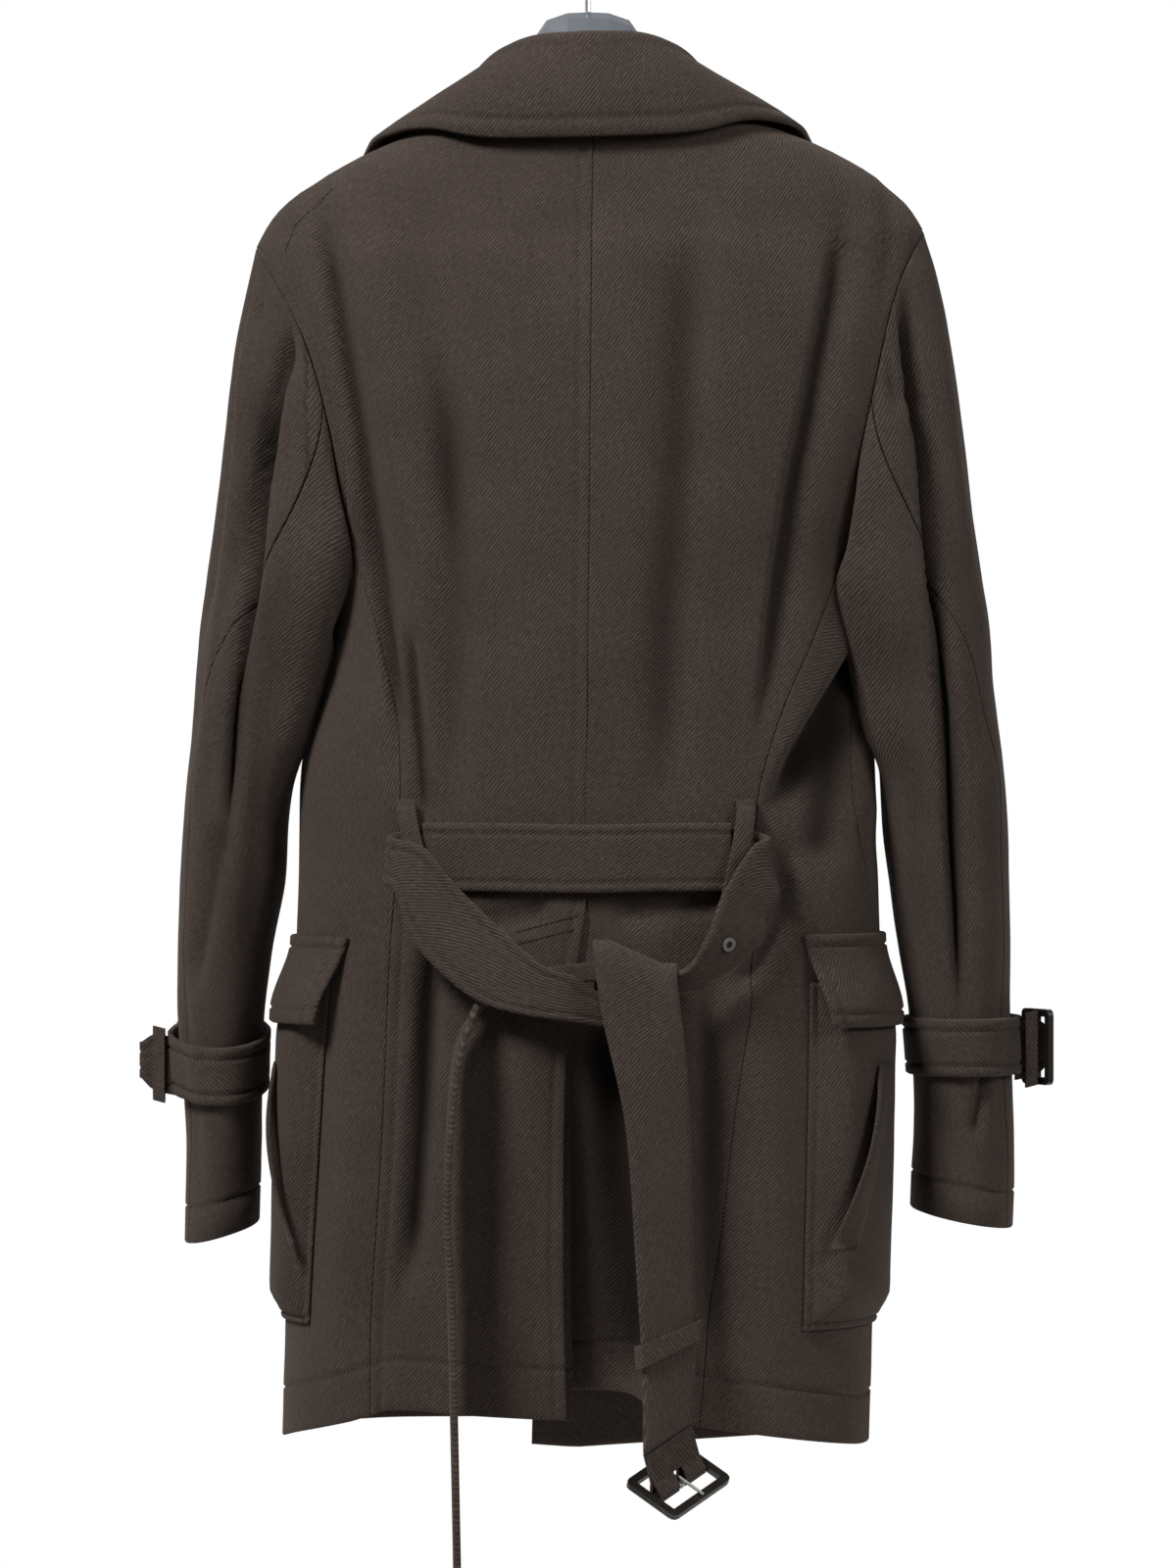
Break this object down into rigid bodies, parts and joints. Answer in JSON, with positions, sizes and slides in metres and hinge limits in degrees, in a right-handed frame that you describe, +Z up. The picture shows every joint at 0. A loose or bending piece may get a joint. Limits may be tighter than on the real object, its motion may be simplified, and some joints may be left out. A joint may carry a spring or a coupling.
{
  "type": "moto coat on a hanger",
  "caption": "Hip-length belted wool coat hanging on a moulded hanger, back vent, bellows pockets with flaps, cuff straps, belt knotted at the back with a loose buckle.",
  "frame": {"origin": "the inner top of the hanger's hook, where it bears on a rail", "axes": "+Z up, the coat's back faces -Y, +X towards the wearer's right sleeve"},
  "size_m": [0.6019, 0.2811, 1.142],
  "materials": {
    "wool_twill": "heavy napped twill, matt, dark brown",
    "black_leather": "smooth black leather over a stiff frame, low gloss",
    "dark_metal": "dark nickel, worn",
    "horn_button": "dark brown horn look, low gloss",
    "grey_plastic": "grey-blue moulded plastic, satin",
    "hook_steel": "plain steel wire"
  },
  "bodies": {
    "coat": {"back_left": "wool_twill", "back_right": "wool_twill", "side_left": "wool_twill", "side_right": "wool_twill", "front_left": "wool_twill", "front_right": "wool_twill", "collar": "wool_twill", "sleeve_left_upper": "wool_twill", "sleeve_left_under": "wool_twill", "sleeve_right_upper": "wool_twill", "sleeve_right_under": "wool_twill", "pocket_left": "wool_twill", "pocket_right": "wool_twill", "flap_left": "wool_twill", "flap_right": "wool_twill", "welt_left": "wool_twill", "welt_right": "wool_twill", "cuff_strap_left": "wool_twill", "cuff_strap_right": "wool_twill", "cuff_strap_tip_left": "wool_twill", "cuff_strap_tip_right": "wool_twill", "cuff_keeper_left": "wool_twill", "cuff_keeper_right": "wool_twill", "belt_back": "wool_twill", "belt_drop_left": "wool_twill", "belt_drop_right": "wool_twill", "belt_tail_buckle": "wool_twill", "belt_tail_plain": "wool_twill", "belt_end_fold": "wool_twill", "belt_keeper": "wool_twill", "belt_loop_left": "wool_twill", "belt_loop_right": "wool_twill", "cuff_buckle_left": "black_leather", "cuff_buckle_right": "black_leather", "belt_eyelet": "dark_metal", "button_1": "horn_button", "button_2": "horn_button", "button_3": "horn_button", "button_4": "horn_button", "hanger": "grey_plastic", "hanger_hook": "hook_steel"},
    "belt_buckle": {"belt_buckle_frame": "black_leather"},
    "buckle_prong": {"belt_buckle_prong": "dark_metal"}
  },
  "joints": [
    {"name": "buckle_swing", "type": "hinge", "parent": "coat", "child": "belt_buckle", "pos_m": [0.057, -0.142, -1.011], "axis": [0.6373, 0.6893, 0.3446], "range_deg": [-20, 35]},
    {"name": "prong_swing", "type": "hinge", "parent": "belt_buckle", "child": "buckle_prong", "pos_m": [0.057, -0.142, -1.011], "axis": [0.6373, 0.6893, 0.3446], "range_deg": [-50, 0]}
  ]
}
